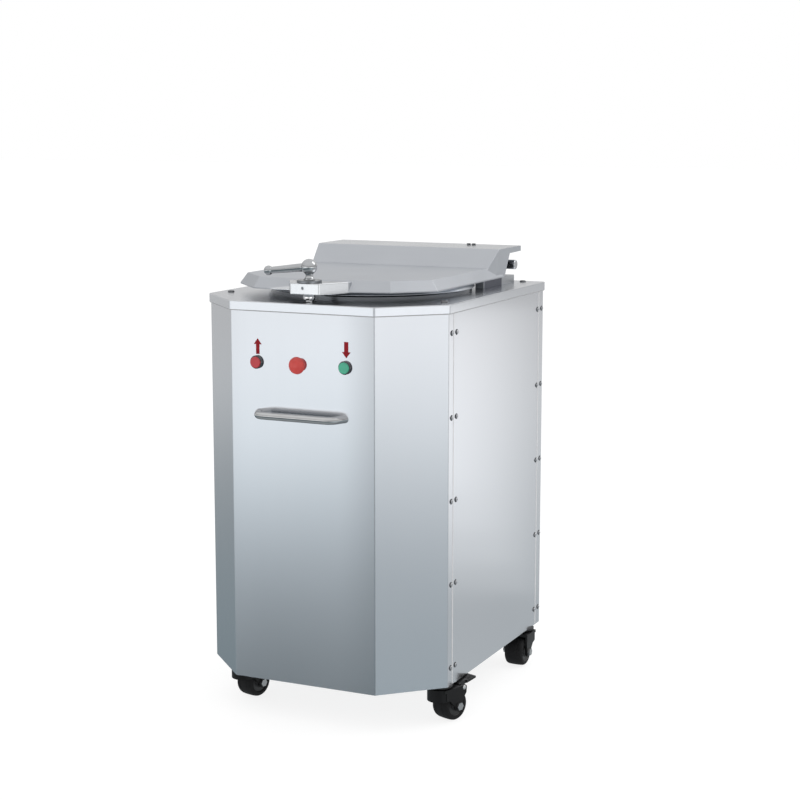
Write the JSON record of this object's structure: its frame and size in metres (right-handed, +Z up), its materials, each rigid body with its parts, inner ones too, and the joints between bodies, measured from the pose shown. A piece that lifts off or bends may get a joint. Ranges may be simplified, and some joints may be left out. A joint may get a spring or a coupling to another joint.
{
  "type": "hydraulic dough divider",
  "caption": "Free-standing stainless hydraulic dough divider with a hinged cast lid, clamping lever, round dough bowl, rising knife head, push buttons and castors.",
  "frame": {"origin": "on the floor, under the middle of the machine's bounding box", "axes": "+Z up, +X to the right seen from the front, -Y towards the operator"},
  "size_m": [0.6732, 0.801, 1.091],
  "materials": {
    "stainless_sheet": "satin",
    "stainless_bright": "polished",
    "frame_steel": "semi-gloss",
    "cast_aluminium": "satin",
    "chrome": "polished",
    "zinc_steel": "satin",
    "hydraulic_steel": "semi-gloss",
    "ground_steel": "polished",
    "food_plastic": "matte",
    "black_plastic": "matte",
    "black_rubber": "matte",
    "castor_steel": "semi-gloss",
    "red_plastic": "gloss",
    "green_plastic": "gloss",
    "arrow_red": "satin"
  },
  "bodies": {
    "cabinet": {"base_plate": "frame_steel", "frame_posts": "frame_steel", "bridge_rails": "frame_steel", "front_panel": "stainless_sheet", "side_panel_left": "stainless_sheet", "side_panel_right": "stainless_sheet", "rear_panel": "stainless_sheet", "panel_screws": "zinc_steel", "table_top": "stainless_sheet", "table_bolts": "zinc_steel", "bowl": "stainless_bright", "hinge_base_left": "cast_aluminium", "hinge_base_right": "cast_aluminium", "cable_gland": "black_plastic", "button_bezels": "chrome", "estop_collar": "black_plastic", "arrow_labels": "arrow_red", "contact_blocks": "black_plastic", "front_handle": "chrome", "castor_races": "zinc_steel", "ram_bridge": "frame_steel", "press_cylinder": "hydraulic_steel", "knife_cylinders": "hydraulic_steel", "oil_tank": "hydraulic_steel", "pump_motor": "hydraulic_steel", "valve_block": "hydraulic_steel", "oil_pipes": "zinc_steel", "control_box": "frame_steel"},
    "lid": {"lid_casting": "cast_aluminium", "lid_disc": "stainless_sheet", "hinge_shaft": "ground_steel", "shaft_screws": "zinc_steel", "latch_collar": "stainless_bright"},
    "latch": {"latch_lever": "chrome", "latch_spindle": "ground_steel"},
    "press": {"press_segments": "food_plastic", "press_posts": "ground_steel", "press_spider": "ground_steel", "press_ram": "ground_steel"},
    "knife": {"knife_blades": "ground_steel", "knife_ring": "ground_steel", "knife_carrier": "ground_steel", "knife_rods": "ground_steel"},
    "up_button": {"up_button": "red_plastic"},
    "down_button": {"down_button": "green_plastic"},
    "estop": {"estop_head": "red_plastic"},
    "swivel_fl": {"castor_fork_fl": "castor_steel", "castor_axle_fl": "zinc_steel"},
    "roller_fl": {"castor_wheel_fl": "black_rubber"},
    "swivel_fr": {"castor_fork_fr": "castor_steel", "castor_axle_fr": "zinc_steel"},
    "roller_fr": {"castor_wheel_fr": "black_rubber"},
    "swivel_rl": {"castor_fork_rl": "castor_steel", "castor_axle_rl": "zinc_steel"},
    "roller_rl": {"castor_wheel_rl": "black_rubber"},
    "swivel_rr": {"castor_fork_rr": "castor_steel", "castor_axle_rr": "zinc_steel"},
    "roller_rr": {"castor_wheel_rr": "black_rubber"},
    "pedal_fl": {"brake_pedal_fl": "black_plastic"},
    "pedal_fr": {"brake_pedal_fr": "black_plastic"}
  },
  "joints": [
    {"name": "lid_hinge", "type": "hinge", "parent": "cabinet", "child": "lid", "pos_m": [0, 0.3185, 1.0385], "axis": [1, 0, 0], "range_deg": [-75, 0]},
    {"name": "latch_turn", "type": "hinge", "parent": "lid", "child": "latch", "pos_m": [0, -0.3145, 1.043], "axis": [0, 0, 1], "range_deg": [0, 90]},
    {"name": "press_lift", "type": "slide", "parent": "cabinet", "child": "press", "axis": [0, 0, 1], "range_m": [0, 0.11]},
    {"name": "knife_lift", "type": "slide", "parent": "cabinet", "child": "knife", "axis": [0, 0, 1], "range_m": [0, 0.115]},
    {"name": "up_press", "type": "slide", "parent": "cabinet", "child": "up_button", "axis": [0, 1, 0], "range_m": [0, 0.004], "stiffness_N_per_m": 600, "springref_m": -0.003},
    {"name": "down_press", "type": "slide", "parent": "cabinet", "child": "down_button", "axis": [0, 1, 0], "range_m": [0, 0.004], "stiffness_N_per_m": 600, "springref_m": -0.003},
    {"name": "estop_press", "type": "slide", "parent": "cabinet", "child": "estop", "axis": [0, 1, 0], "range_m": [0, 0.006]},
    {"name": "swivel_fl", "type": "hinge", "parent": "cabinet", "child": "swivel_fl", "pos_m": [-0.219, -0.2575, 0.088], "axis": [0, 0, 1], "continuous": true},
    {"name": "wheel_fl", "type": "hinge", "parent": "swivel_fl", "child": "roller_fl", "pos_m": [-0.21126, -0.22645, 0.037], "axis": [0.9703, -0.2419, 0], "continuous": true},
    {"name": "swivel_fr", "type": "hinge", "parent": "cabinet", "child": "swivel_fr", "pos_m": [0.2855, -0.2116, 0.088], "axis": [0, 0, 1], "continuous": true},
    {"name": "wheel_fr", "type": "hinge", "parent": "swivel_fr", "child": "roller_fr", "pos_m": [0.29645, -0.18153, 0.037], "axis": [0.9397, -0.342, 0], "continuous": true},
    {"name": "swivel_rl", "type": "hinge", "parent": "cabinet", "child": "swivel_rl", "pos_m": [-0.29958, 0.3105, 0.088], "axis": [0, 0, 1], "continuous": true},
    {"name": "wheel_rl", "type": "hinge", "parent": "swivel_rl", "child": "roller_rl", "pos_m": [-0.29958, 0.2785, 0.037], "axis": [-1, 0, 0], "continuous": true},
    {"name": "swivel_rr", "type": "hinge", "parent": "cabinet", "child": "swivel_rr", "pos_m": [0.2905, 0.3105, 0.088], "axis": [0, 0, 1], "continuous": true},
    {"name": "wheel_rr", "type": "hinge", "parent": "swivel_rr", "child": "roller_rr", "pos_m": [0.2905, 0.2785, 0.037], "axis": [-1, 0, 0], "continuous": true},
    {"name": "brake_fl", "type": "hinge", "parent": "swivel_fl", "child": "pedal_fl", "pos_m": [-0.20702, -0.20947, 0.079], "axis": [-0.9703, 0.2419, 0], "range_deg": [0, 12]},
    {"name": "brake_fr", "type": "hinge", "parent": "swivel_fr", "child": "pedal_fr", "pos_m": [0.30243, -0.16509, 0.079], "axis": [-0.9397, 0.342, 0], "range_deg": [0, 12]}
  ]
}
